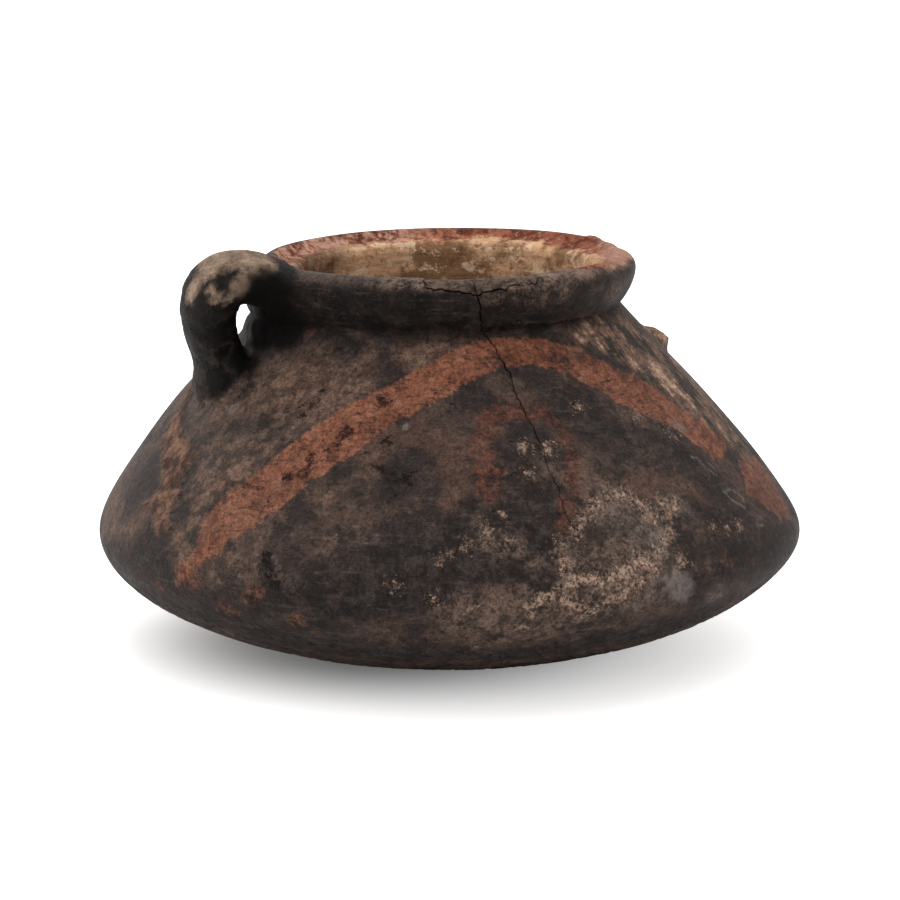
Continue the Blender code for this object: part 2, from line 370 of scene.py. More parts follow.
def handle_path():
    """Middle line of the loop, from inside the lip, up and over, down and into the shoulder."""
    half = HANDLE_THICKNESS / 2
    start = Vector(((MOUTH_RADIUS + LIP_RADIUS) / 2, NECK_HEIGHT + COLLAR_HEIGHT / 3))
    outer = Vector((HANDLE_REACH - half, NECK_HEIGHT + COLLAR_HEIGHT / 4))
    lift = 8 / 3 * (LIP_HEIGHT + HANDLE_RISE - half - (start.y + outer.y) / 2)
    start_hand = start + Vector((0.45 * (outer.x - start.x), 0.37 * lift))
    over = bezier(start, start_hand, outer + Vector((0, 0.63 * lift)), outer, HANDLE_STEPS)
    foot, normal = shoulder_at(FOOT_HEIGHT)
    fall = outer.y - foot.y
    foot_hand = foot + 0.3 * fall * slope(FOOT_LEAN)
    down = bezier(outer, outer - Vector((0, 0.25 * fall)), foot_hand, foot, HANDLE_STEPS * 3 // 4)
    return [start] + over + down + [foot - BURIED * normal]


def handle():
    """The loop, wide at the lip and slimmer towards its foot, with clay pressed out round the foot."""
    path = handle_path()
    last = len(path) - 1
    bm = bmesh.new()
    rings = []
    for i, point in enumerate(path):
        s = i / last
        azimuth = HANDLE_AZIMUTH + (FOOT_AZIMUTH - HANDLE_AZIMUTH) * rise(s, 0.3, 1)
        slim = rise(s, 0.5, 0.85)
        root = 1 - rise(s, 0, 0.35)
        flare = 2 * FOOT_FLARE * rise(s, 0.82, 1)
        tuck = BURIED * (1 - rise(s, 0, 0.12))
        width = HANDLE_WIDTH + (ROOT_WIDTH - HANDLE_WIDTH) * root + (FOOT_WIDTH - HANDLE_WIDTH) * slim
        thickness = HANDLE_THICKNESS + (FOOT_THICKNESS - HANDLE_THICKNESS) * slim - tuck
        along = path[min(i + 1, last)] - path[max(i - 1, 0)]
        rings.append(ring(bm, azimuth, point, along, width + flare, thickness + flare))
    loft(bm, rings)
    return thing("handle_clay", bm)


def stub():
    """Low broken root of the lost handle, standing square on the shoulder, its break sloping down and out."""
    foot, normal = shoulder_at(STUB_FOOT)
    bm = bmesh.new()
    rings = []
    for depth, share in ((-BURIED, 1), (0, 1), (2 * STUB_HEIGHT, STUB_TAPER)):
        middle = foot + depth * normal
        rings.append(ring(bm, STUB_AZIMUTH, middle, normal, share * STUB_WIDTH, share * STUB_LENGTH))
    loft(bm, rings)
    across = Vector((-sin(STUB_AZIMUTH), cos(STUB_AZIMUTH), 0))
    facing = Matrix.Rotation(-STUB_BREAK, 3, across) @ place(STUB_AZIMUTH, normal)
    top = place(STUB_AZIMUTH, foot + STUB_HEIGHT * normal)
    everything = bm.verts[:] + bm.edges[:] + bm.faces[:]
    cut = bmesh.ops.bisect_plane(bm, geom=everything, dist=MERGE, plane_co=top, plane_no=facing,
                                 clear_outer=True)
    rim = [piece for piece in cut["geom_cut"] if isinstance(piece, bmesh.types.BMEdge)]
    bmesh.ops.holes_fill(bm, edges=rim, sides=0)
    return thing("stub_clay", bm)


OUTER_CURVE = belly(BELLY_STEPS) + shoulder(SHOULDER_STEPS)[1:] + collar()[:COLLAR_STEPS + ROUND_STEPS]
OUTER_HEIGHTS = np.array([point.y for point in OUTER_CURVE])
OUTER_RADII = np.array([point.x for point in OUTER_CURVE])


def on_outside(azimuth, height):
    """The point of the outer surface in a direction in degrees and at a height in millimetres."""
    angle = radians(azimuth)
    radius = float(np.interp(height * MM, OUTER_HEIGHTS, OUTER_RADII))
    return uneven(Vector((radius * cos(angle), radius * sin(angle), height * MM)))


def trail(marks):
    """Points close together along a line drawn on the outside."""
    points = []
    for (a0, h0), (a1, h1) in zip(marks, marks[1:]):
        length = (on_outside(a1, h1) - on_outside(a0, h0)).length
        count = max(1, round(length / TRAIL_STEP))
        points += [on_outside(a0 + (a1 - a0) * i / count, h0 + (h1 - h0) * i / count) for i in range(count)]
    return points + [on_outside(*marks[-1])]


def combine(whole, operation, helpers):
    """Join the helpers to the whole, or cut them out of it, and clear them away."""
    group = bpy.data.collections.new("helpers")
    bpy.context.scene.collection.children.link(group)
    for helper in helpers:
        group.objects.link(helper)
    change = whole.modifiers.new("combine", "BOOLEAN")
    change.operation = operation
    change.solver = "EXACT"
    change.operand_type = "COLLECTION"
    change.collection = group
    bpy.context.view_layer.update()
    evaluated = whole.evaluated_get(bpy.context.evaluated_depsgraph_get())
    mesh = bpy.data.meshes.new_from_object(evaluated)
    whole.modifiers.clear()
    whole.data = mesh
    for helper in helpers:
        bpy.data.objects.remove(helper)
    bpy.data.collections.remove(group)


def groove(name, marks, width, depth, wander, thin):
    """A thin wedge along a line on the outside, point down, that wanders sideways and thins to a share."""
    points = trail(marks)
    last = len(points) - 1
    bm = bmesh.new()
    rings = []
    for i, point in enumerate(points):
        ahead = (points[min(i + 1, last)] - points[max(i - 1, 0)]).normalized()
        outward = Vector((point.x, point.y, 0.45 * hypot(point.x, point.y))).normalized()
        side = ahead.cross(outward).normalized()
        down = ahead.cross(side).normalized()
        if down.dot(outward) > 0:
            down = -down
        drift = wander * (noise.noise(point / CRACK_BEND) + 1.6 * noise.noise(point / CRACK_JAG))
        share = 1 - (1 - thin) * i / last
        wide = share * (1 + 0.7 * noise.noise(point / CRACK_SWELL + Vector((9, 0, 0))))
        end = CRACK_TIP if i in (0, last) else 1
        size = Matrix.Diagonal((WEDGE_SPREAD * width * wide * end / 2, depth * share * end, 1, 1))
        axes = Matrix((side, down, side.cross(down))).transposed().to_4x4()
        rings.append(hoop(bm, 3, Matrix.Translation(point + drift * side) @ axes @ size))
    loft(bm, rings)
    return thing(name, bm)


def nearest_of(points):
    """A tree that finds the nearest of the points."""
    tree = KDTree(len(points))
    for i, point in enumerate(points):
        tree.insert(point, i)
    tree.balance()
    return tree


def soften_joints(jar):
    """Smooth the clay where handle and stub meet the body, as a wet finger leaves it."""
    bm = bmesh.new()
    bm.from_mesh(jar.data)
    joints = [edge for edge in bm.edges if len({face.material_index for face in edge.link_faces}) > 1]
    tree = nearest_of([vert.co for edge in joints for vert in edge.verts])
    near = [vert for vert in bm.verts if tree.find(vert.co)[2] < JOINT_REACH]
    for _ in range(JOINT_PASSES):
        bmesh.ops.smooth_vert(bm, verts=near, factor=0.5, use_axis_x=True, use_axis_y=True, use_axis_z=True)
    for face in bm.faces:
        face.material_index = 0
    bm.to_mesh(jar.data)
    bm.free()


def area(*marks):
    """A patch on the outside with this edge."""
    return "area", list(marks), 0


def line(width, *marks):
    """A stroke on the outside, so many millimetres wide."""
    return "line", list(marks), width / 2


def dots(radius, *marks):
    """Round spots on the outside, so many millimetres in radius."""
    return "dots", list(marks), radius


def distance_to(points, places):
    """Millimetres from each place to the nearest of the points."""
    tree = nearest_of(points)
    return np.array([tree.find(place)[2] for place in places]) / MM


def close_to(points, co):
    """Which places lie in the points' box or within reach of it."""
    spots = np.array([tuple(point) for point in points])
    lowest, highest = spots.min(0) - PAINT_REACH, spots.max(0) + PAINT_REACH
    return np.nonzero(((co > lowest) & (co < highest)).all(1))[0]


def inside_loop(marks, azimuths, heights):
    """Which places lie inside the loop of marks."""
    inside = np.zeros(len(azimuths), bool)
    for (a0, h0), (a1, h1) in zip(marks, marks[1:] + marks[:1]):
        if h0 != h1:
            crossing = (h0 > heights) != (h1 > heights)
            inside ^= crossing & (azimuths < a0 + (a1 - a0) * (heights - h0) / (h1 - h0))
    return inside


def painted(shapes, co, azimuths, heights, outside):
    """How many millimetres each place lies inside the nearest of the shapes; less than 0 is outside them."""
    depth = np.full(len(co), FAR)
    for kind, marks, half in shapes:
        if kind == "balls":
            points = [Vector(mark) * MM for mark in marks]
        elif kind == "dots":
            points = [on_outside(*mark) for mark in marks]
        else:
            points = trail(marks + marks[:1] if kind == "area" else marks)
        near = close_to(points, co)
        found = distance_to(points, [Vector(place) for place in co[near]])
        if kind == "area":
            found = np.where(inside_loop(marks, azimuths[near], heights[near]), found, -found)
        else:
            found = half - found
        depth[near] = np.maximum(depth[near], found)
    return np.where(outside, depth, FAR)


def along_section(radii, heights):
    """Millimetres along the section from the crest of the lip: above 0 inside the jar, below 0 outside."""
    points = outline()
    crest = max(range(len(points)), key=lambda i: points[i].y)
    lengths = np.cumsum([0.0] + [(b - a).length for a, b in zip(points, points[1:])])
    tree = nearest_of([(point.x, point.y, 0) for point in points])
    nearest = [tree.find((radius, height, 0))[1] for radius, height in zip(radii, heights)]
    return (lengths[nearest] - lengths[crest]) / MM


def balls(radius, *centres):
    """Spots where balls in space, their middles in millimetres, reach the surface."""
    return "balls", list(centres), radius


PAINT = {
    "band": [area(*BAND_TOP, *reversed(BAND_FOOT)), area(*BAND_END)],
    "arch": [line(6.5, (-82, 68), (-83, 78), (-81, 85), (-76, 87.5), (-69, 87)),
             line(4, (-68, 86), (-64, 82), (-64, 76), (-67, 66), (-70, 58))],
    "ghost": [line(9, (-106, 77.6), (-101, 81), (-96, 82.4), (-90, 79), (-88, 73), (-88, 63)),
              line(9, (-53, 65), (-49, 66), (-43, 64), (-39, 58.5)), line(8, (-78, 80), (-76, 70))],
    "rust": [dots(3.2, (-132, 46), (-130, 49), (-134, 39.7)),
             dots(1.8, (-143, 32.8), (-136, 41.4), (-114, 29.9)), dots(2.6, (-127, 30.6), (-121, 37.1)),
             dots(1.2, (-83, 71.2), (-80, 72.2)), dots(0.8, (-40, 42.4), (-35, 40.1), (-27, 30.5)),
             dots(2.2, (-140, 113), (-137, 108))],
    "tan": [area((-177, 85.8), (-168, 79.3), (-168, 74.7), (-163, 69.6), (-156, 64.6), (-151, 60.5),
                 (-152, 55.8), (-148, 51.2), (-145, 48.7), (-142, 50.2), (-145, 55.1), (-144, 59.6),
                 (-146, 66.0), (-147, 69.8), (-154, 73.9), (-160, 75.2), (-164, 79.7), (-167, 84.2)),
            dots(1.6, (-139, 48.6), (-153, 54.8)), dots(1.0, (-161, 55.9)), dots(1.5, (-56, 92.9)),
            dots(3, (-50, 100))],
    "stain": [area((-47, 106), (-35, 108), (-20, 105.5), (-8, 104), (2, 96), (2, 84), (-5, 72), (-12, 60),
                   (-18, 64), (-22, 76), (-28, 86), (-37, 95), (-44, 101)), balls(13, (62, 27, 93))],
    "nub": [balls(3, (46, 27, 124)), balls(2, (52, 20, 122))],
    "cream": [dots(1.6, (-49, 60), (-50, 45)),
              line(2.0, (-68, 55.5), (-67, 58), (-64, 61.3), (-59, 64.2), (-56, 64), (-53, 59.5),
                   (-54, 57.2)), line(1.4, (-54, 57), (-50, 56.1), (-47, 58), (-46, 60.6)),
              line(1.6, (-50, 53.4), (-53, 49.3), (-57, 46.7)),
              line(3, (-57, 46.7), (-61, 44.3), (-65, 42.8), (-68, 43.6), (-71, 43.3), (-74, 39.6),
                   (-77, 36)), line(2.4, (-72, 37.7), (-67, 34), (-62, 38.4), (-58, 42)),
              line(2.0, (-59, 46.6), (-55, 43.9)), dots(1.6, (-69, 77.3), (-71, 49)),
              dots(1.0, (-74, 77.6), (-83, 57.3), (-80, 54.6), (-72, 53.1)),
              dots(0.6, (-74, 71.6), (-80, 61.5), (-85, 21.7), (-44, 82.7), (-98, 43.4)),
              dots(1.3, (-78, 30.3)), line(0.8, (-91, 51.1), (-88, 53), (-86, 55)),
              dots(0.5, (-36, 75.6), (-58, 87.3)),
              dots(0.5, (-92, 39.4), (-86, 37), (-40, 52), (-37, 50), (-33, 50)),
              dots(0.5, (-37, 78.4), (-33, 76))],
    "crust": [line(13, (-61, 50), (-56, 42), (-66, 37), (-75, 35), (-88, 34)),
              line(9, (-61, 61), (-55, 58)), line(6, (-84, 56), (-76, 50)), line(10, (-70, 50), (-64, 46)),
              balls(4, (28, -52, 120), (36, -46, 121)), balls(4, (52, -27, 116)),
              balls(3, (14, -56, 122), (20, -55, 121))],
    "chalk_and_glints": [line(0.9, (-35, 69.5), (-33, 68.5), (-33, 66.2), (-31, 63.4)),
              line(0.7, (-31, 67), (-30, 64.5)),
              line(1.0, (-32, 59.4), (-29.5, 59.2), (-27, 56.4), (-28.5, 53.8), (-31, 56.4), (-32, 59.4)),
              line(0.8, (-26, 50.2), (-24.6, 49.4), (-26, 47.8), (-28, 48.4), (-26, 50.2)),
              # Painted glints: small light dots where the clay catches the light
              dots(1.2, (-99, 84)), dots(0.7, (-153, 81.6), (-130, 61.4), (-137, 44.5))],
    # Smoke clouds, and painted shade low on the belly and under its widest line
    "soot_and_shade": [dots(9, (-158, 33), (-146, 41)), line(20, (-170, 28), (-154, 32), (-143, 38)),
             dots(6, (-156, 62), (-150, 66)), line(14, (-40, 42), (-30, 41), (-16, 41)),
             line(9, (-19, 52), (-17, 44)), line(16, (-92, 52), (-84, 62), (-79, 68), (-74, 78)),
             line(14, (-50, 74), (-58, 90)), line(8, (-42, 57), (-34, 52)), line(8, (-112, 72), (-106, 68)),
             dots(7, (-100, 70), (-120, 104)), dots(7, (-160, 63), (-159, 55), (-147, 43), (-142, 41)),
             dots(4, (-141, 55.5), (-134, 57.8)), line(7, (-150, 72), (-140, 80), (-132, 82)),
             line(5, (-11, 97.3), (-10, 93), (-13, 86), (-18, 80.8), (-18, 70), (-19, 62)),
             line(14, (-62, 86), (-52, 80), (-44, 74), (-37, 70), (-34, 60)),
             line(22, (-72, 48), (-80, 56), (-100, 45), (-120, 30)),
             line(14, (-140, 30), (-120, 22), (-80, 18), (-40, 24)), line(12, (-72, 66), (-76, 58)),
             line(5, (-139, 104.9), (-122, 107), (-104, 109), (-60, 109.5))],
    "warm": [line(14, (-176, 54), (-166, 47), (-154, 46)), line(22, (-144, 78), (-134, 88), (-118, 98)),
             line(16, (-132, 72), (-137, 60)), line(10, (-112, 66), (-104, 72)),
             line(12, (-100, 103), (-85, 106))],
    "grey": [area((-55, 41.3), (-52, 43.0), (-49, 41.4), (-48, 36.0), (-49, 32.4), (-53, 34.2)),
             dots(2, (-32, 77.6)), dots(1.6, (-146, 84))],
    "ash": [line(13, (-60, 60), (-54, 54), (-54, 44), (-62, 39)), line(5, (-47, 61), (-45, 57)),
            dots(3, (-42, 33))],
    "pits": [dots(1.5, (-121, 69), (-118, 70.8), (-113, 79.3), (-102, 80.4)),
             dots(1.2, (-118, 75.1), (-117, 73.4)), dots(2.0, (-105, 90.2), (-112, 82)),
             dots(1.0, (-115, 77.6), (-103, 79.3), (-159, 84.8)),
             line(2.6, (-120, 48.7), (-119, 46.2), (-118, 42.8), (-117, 41)),
             line(1.3, (-104, 73.9), (-99, 71), (-96, 69.8)), line(1.0, (-122, 93.7), (-122, 91.7)),
             line(1.6, (-123, 87), (-124, 84.9)), line(1.2, (-126, 87.2), (-122, 89)),
             line(1.2, (-101, 70.3), (-96, 72)), line(0.8, (-147, 89.6), (-146, 85))],
    "scratches": [line(0.7, (-135, 64.7), (-131, 65.6), (-124, 65.7)),
                  line(0.5, (-134, 65.9), (-129, 66.4), (-126, 65.2)),
                  line(0.5, (-133, 64.5), (-128, 64.9)), line(0.5, (-49, 40), (-48, 37.5), (-48, 35.1)),
                  line(0.5, (-93, 113.4), (-94, 109))],
    "flake": [area(*FLAKE_CRACK, (-61, 126), (-97, 126))],
    "bare": [balls(2.4, (-66.5, -45.5, 125.5)), balls(2.8, (-67, -47.5, 122)),
             balls(2.4, (-66, -48.2, 119.2)), balls(1.6, (-62, -46.5, 122.3))],
    "deposit": [balls(11, (-67, -37, 132)), balls(7.5, (-57, -40, 129)), balls(4.8, (-72, -41, 127)),
                balls(4.4, (-77, -42, 122)), balls(3.0, (-79, -41, 117)),
                balls(2.3, (-71, -47, 120), (-69, -48, 117.8)),
                balls(2.1, (-66, -49, 116), (-64, -48.5, 117.5)), balls(3.2, (-61, -46, 121))],
    # Painted shade: the dark hollow between the handle's root and the neck
    "gap_shade": [balls(7, (-55, -42, 119), (-53, -36, 112), (-56, -30, 105), (-50, -38, 107)),
            balls(5, (-61, -34, 97))],
}


def survey(mesh):
    """Each vertex's place, direction, height and radius, and how far it stands proud of the body."""
    flat = np.empty(3 * len(mesh.vertices), np.float32)
    mesh.vertices.foreach_get("co", flat)
    co = flat.reshape(-1, 3).astype(float)
    azimuths = np.degrees(np.arctan2(co[:, 1], co[:, 0]))
    tilt = np.clip((co[:, 2] - BODY_HEIGHT) / (NECK_HEIGHT - BODY_HEIGHT), 0, 1) * tan(RIM_TILT)
    heights = (co[:, 2] - co[:, 0] * tilt) / MM
    radii = np.hypot(co[:, 0], co[:, 1])
    swells = np.array([swell(radians(azimuth), height) for azimuth, height in zip(azimuths, co[:, 2])])
    proud = (radii - swells - np.interp(heights * MM, OUTER_HEIGHTS, OUTER_RADII)) / MM
    return co, azimuths, heights, radii, proud


def measure(jar):
    """Write where every mark lies on the surface, and which side of the clay a place is on."""
    mesh = jar.data
    co, azimuths, heights, radii, proud = survey(mesh)
    outside = proud > -0.5 * WALL / MM
    for name, shapes in PAINT.items():
        write(mesh, name, painted(shapes, co, azimuths, heights, outside))
    write(mesh, "proud", proud)
    write(mesh, "section", np.where(proud > 1.5, -20, along_section(radii, heights * MM)))
    cracks = [line(0, *MAIN_CRACK), line(0, *FLAKE_CRACK)]
    write(mesh, "crack", painted(cracks, co, azimuths, heights, outside))


def write(mesh, name, values):
    """Store one number a vertex under a name that the material reads."""
    mesh.attributes.new(name, "FLOAT", "POINT").data.foreach_set("value", values.astype(np.float32))


def ripples(places, size):
    """Smooth noise, from about -1 to 1, at each place, with waves of a size."""
    return np.array([noise.noise(place / size) for place in places])


def relief(jar):
    """Move the surface in and out by hand waves, the flaked lip, crusts and pits."""
    mesh = jar.data
    co, azimuths, heights, _, proud = survey(mesh)
    facing = np.empty(co.size, np.float32)
    mesh.vertex_normals.foreach_get("vector", facing)
    facing = facing.reshape(-1, 3).astype(float)
    places = [Vector(place) for place in co]
    outside = proud > -0.5 * WALL / MM

    def marked(name):
        return painted(PAINT[name], co, azimuths, heights, outside)

    wave, grit, lump = (ripples(places, size) for size in (WAVE_LENGTH, GRIT_SIZE, LUMP_SIZE))
    wide = np.exp(-((co[:, 2] - BODY_HEIGHT) / WIDEST_REACH) ** 2)
    move = -WAVE_DEPTH * (0.1 + 0.65 * wide + 0.6 * wave)
    thick = marked("tan")
    crust = np.maximum(marked("cream"), thick)
    move += CRUST_HEIGHT * np.clip(0.5 + crust / 2, 0, 1) * (0.4 + 1.2 * grit)
    move += LUMP_HEIGHT * np.clip(0.5 + thick / 2, 0, 1) * np.clip(0.4 + 1.5 * lump, 0, 1.4)
    pits = marked("pits")
    move -= PIT_DEPTH * np.clip(0.5 + pits, 0, 1)
    flake = marked("flake")
    move -= FLAKE_DEPTH * np.clip(0.3 + flake, 0, 1) * (1 + 0.4 * grit)
    on_handle = np.clip((proud - 1.5) / 2, 0, 1)
    move -= on_handle * HANDLE_LUMP * (np.clip(lump, 0, 1) + 0.2 * grit)
    move += NUB_HEIGHT * np.clip(0.5 + marked("nub") / 3, 0, 1)
    under = np.clip((32 - heights) / 8, 0, 1) * outside
    move -= UNDER_ROUGH * under * np.clip(0.3 + 1.6 * grit, 0, 1)
    move[heights < FLAT_BASE / MM] = 0
    co += facing * move[:, None]
    mesh.vertices.foreach_set("co", co.astype(np.float32).ravel())
    mesh.update()


def build_jar(material):
    """The whole jar in one clay."""
    jar = turned_body()
    pieces = [handle(), stub()]
    for clay in (jar, *pieces):
        clay.data.materials.append(material)
        clay.data.materials.append(material)
    for piece in pieces:
        for face in piece.data.polygons:
            face.material_index = 1
    combine(jar, "UNION", pieces)
    soften_joints(jar)
    relief(jar)
    cutters = [groove("main_crack", MAIN_CRACK, MAIN_CRACK_WIDTH, MAIN_CRACK_DEPTH, 0.0005, 0.45),
               groove("fine_crack", FINE_CRACK, FINE_CRACK_WIDTH, FINE_CRACK_DEPTH, 0.0006, 0.5),
               groove("flake_crack", FLAKE_CRACK, FLAKE_CRACK_WIDTH, FLAKE_CRACK_DEPTH, 0.0006, 0.7)]
    combine(jar, "DIFFERENCE", cutters)
    measure(jar)
    jar.data.shade_smooth()
    jar.data.set_sharp_from_angle(angle=SHARP)
    jar.data.materials.clear()
    jar.data.materials.append(material)
    return jar


def tone(red, green, blue):
    """A colour from its 0 to 255 screen values."""
    values = [value / 255 for value in (red, green, blue)]
    return tuple(v / 12.92 if v <= 0.04045 else ((v + 0.055) / 1.055) ** 2.4 for v in values) + (1.0,)


# Colours of the clay and of what lies on it
CLAY_DARK = tone(46, 38, 36)
CLAY_BROWN = tone(76, 60, 53)
CLAY_LIGHT = tone(94, 76, 66)
WARM_DARK = tone(80, 61, 51)
WARM_LIGHT = tone(116, 91, 77)
ASH_DARK = tone(76, 66, 60)
ASH_LIGHT = tone(116, 104, 96)
GHOST = tone(92, 68, 57)
ARCH_DARK = tone(76, 42, 33)
ARCH_LIGHT = tone(104, 58, 43)
# Char and smoke colours, used also for painted shade under the lip, low on the belly and beside the handle
CHAR_AND_SHADE = tone(11, 8, 7)
CHAR_AND_SHADE_LIGHT = tone(34, 27, 24)
SOOT_AND_SHADE = tone(30, 25, 24)
SOOT_AND_SHADE_LIGHT = tone(54, 46, 43)
SLIP_DARK = tone(92, 52, 37)
SLIP_LIGHT = tone(134, 83, 62)
SLIP_BURNT = tone(62, 40, 32)
SLIP_PINK = tone(136, 98, 80)
RUST_DARK = tone(96, 52, 34)
RUST_LIGHT = tone(150, 88, 54)
STROKE_LIGHT = tone(104, 92, 85)
SPECK = tone(134, 114, 98)
TAN_DARK = tone(82, 62, 53)
TAN_LIGHT = tone(146, 111, 92)
STAIN_DARK = tone(46, 38, 34)
STAIN = tone(116, 90, 75)
STAIN_LIGHT = tone(182, 150, 126)
CRUST_DARK = tone(66, 54, 48)
CRUST = tone(118, 98, 87)
CREAM_DARK = tone(98, 79, 69)
CREAM_LIGHT = tone(206, 174, 153)
# Light grey for chalk and for painted glints
CHALK_AND_GLINT = tone(140, 136, 132)
GREY = tone(122, 112, 108)
DEPOSIT = tone(176, 152, 131)
DEPOSIT_DARK = tone(124, 105, 90)
# Near black for pits and nicks, and for painted shade along the cracks
PIT_AND_SHADE = tone(10, 7, 6)
CREST = tone(126, 104, 91)
FLAKE_DARK = tone(44, 34, 29)
FLAKE_LIGHT = tone(92, 74, 62)
LIP_DARK = tone(106, 56, 42)
LIP_LIGHT = tone(164, 102, 78)
LIP_PALE = tone(214, 176, 156)
INSIDE_DARK = tone(80, 57, 42)
INSIDE_BROWN = tone(140, 106, 78)
INSIDE_CREAM = tone(206, 164, 128)
INSIDE_LIGHT = tone(226, 196, 164)


class Glaze:
    """A material's node tree, with short names for its nodes."""

    def __init__(self, name):
        self.material = bpy.data.materials.new(name)
        self.material.use_nodes = True
        self.tree = self.material.node_tree
        self.shader = self.tree.nodes["Principled BSDF"]
        self.place = self.tree.nodes.new("ShaderNodeTexCoord").outputs["Object"]

    def put(self, socket, value):
        """Set a socket, or link what feeds it."""
        if isinstance(value, bpy.types.NodeSocket):
            self.tree.links.new(value, socket)
        else:
            socket.default_value = value

    def sum(self, operation, first, second, third=None):
        """One step of arithmetic."""
        node = self.tree.nodes.new("ShaderNodeMath")
        node.operation = operation
        self.put(node.inputs[0], first)
        self.put(node.inputs[1], second)
        if third is not None:
            self.put(node.inputs[2], third)
        return node.outputs[0]

    def attribute(self, name):
        """The number stored on the surface under a name."""
        node = self.tree.nodes.new("ShaderNodeAttribute")
        node.attribute_name = name
        return node.outputs["Fac"]

    def moved(self, scale, offset):
        """Object coordinates pressed together along the axes and moved to another part of a pattern."""
        node = self.tree.nodes.new("ShaderNodeMapping")
        self.put(node.inputs["Vector"], self.place)
        node.inputs["Scale"].default_value = scale
        node.inputs["Location"].default_value = (offset, offset, offset)
        return node.outputs[0]

    def arrows(self, operation, first, second=None):
        """One step of arithmetic with places or colours."""
        node = self.tree.nodes.new("ShaderNodeVectorMath")
        node.operation = operation
        self.put(node.inputs[0], first)
        if second is not None:
            self.put(node.inputs["Scale" if operation == "SCALE" else 1], second)
        return node.outputs["Value" if operation == "DISTANCE" else 0]

    def downhill(self):
        """Places drawn together along the slopes of the jar, so that a pattern runs down them in streaks."""
        level = self.arrows("NORMALIZE", self.arrows("MULTIPLY", self.place, (1, 1, 0)))
        upright = self.arrows("MULTIPLY", self.place, (0, 0, 0.75))
        return self.arrows("ADD", self.arrows("SCALE", level, 0.085), upright)

    def grade(self, colour, mask, low, high):
        """A colour darkened to a share where the mask is 0 and brightened to another where it is 1."""
        start = colour[:3] if isinstance(colour, tuple) else colour
        return self.arrows("SCALE", start, self.blend(mask, low, high))

    def noise(self, size, detail, rough, offset, scale=(1, 1, 1), place=None):
        """Cloudy noise, from 0 to 1, with clouds so many millimetres across."""
        node = self.tree.nodes.new("ShaderNodeTexNoise")
        self.put(node.inputs["Vector"], place or self.moved(scale, offset))
        node.inputs["Scale"].default_value = 1 / (size * MM)
        node.inputs["Detail"].default_value = detail
        node.inputs["Roughness"].default_value = rough
        return node.outputs["Fac"]

    def step(self, value, low, high):
        """0 below low, 1 above high and smooth between; low may be the higher of the two."""
        node = self.tree.nodes.new("ShaderNodeMapRange")
        node.interpolation_type = "SMOOTHSTEP"
        self.put(node.inputs["Value"], value)
        if low < high:
            pair, ends = (low, high), (0.0, 1.0)
        else:
            pair, ends = (high, low), (1.0, 0.0)
        node.inputs["From Min"].default_value, node.inputs["From Max"].default_value = pair
        node.inputs["To Min"].default_value, node.inputs["To Max"].default_value = ends
        return node.outputs["Result"]

    def shape(self, name, rag, reach, soft, shift=0.0):
        """Mask of painted shapes, their edge made ragged by a noise and so many millimetres soft."""
        wobble = self.sum("MULTIPLY_ADD", rag, 2 * reach, shift - reach)
        return self.step(self.sum("ADD", self.attribute(name), wobble), -soft / 2, soft / 2)

    def scatter(self, name, rag, reach, thin, thick, soft=0.05):
        """Mask of specks that crowd towards painted shapes, thin outside them and thick inside."""
        crowd = self.step(self.attribute(name), -reach, 1.5)
        level = self.sum("MULTIPLY_ADD", crowd, thick - thin, thin)
        return self.step(self.sum("SUBTRACT", rag, level), 0.0, soft)

    def both(self, *masks, operation="MULTIPLY"):
        """Where all the masks meet."""
        result = masks[0]
        for mask in masks[1:]:
            result = self.sum(operation, result, mask)
        return result

    def mix(self, mask, under, over):
        """One colour laid over another through a mask."""
        node = self.tree.nodes.new("ShaderNodeMix")
        node.data_type = "RGBA"
        self.put(node.inputs["Factor"], mask)
        self.put(node.inputs[6], under)
        self.put(node.inputs[7], over)
        return node.outputs[2]

    def lay(self, under, over, *masks):
        """One colour laid over another where all the masks meet."""
        return self.mix(self.both(*masks), under, over)

    def marbled(self, rag, dark, light, low=0.42, high=0.58):
        """Two colours that change places with a noise."""
        return self.mix(self.step(rag, low, high), dark, light)

    def share(self, first, second, part):
        """So much of the first number, and the rest of the second."""
        return self.sum("MULTIPLY_ADD", first, part, self.sum("MULTIPLY", second, 1 - part))

    def either(self, *masks):
        """Where any of the masks is."""
        return self.both(*masks, operation="MAXIMUM")

    def blend(self, mask, low, high):
        """One number turning into another through a mask."""
        if isinstance(low, bpy.types.NodeSocket):
            rest = self.sum("MULTIPLY", low, self.sum("SUBTRACT", 1.0, mask))
            return self.sum("ADD", rest, self.sum("MULTIPLY", mask, high))
        return self.sum("MULTIPLY_ADD", mask, high - low, low)


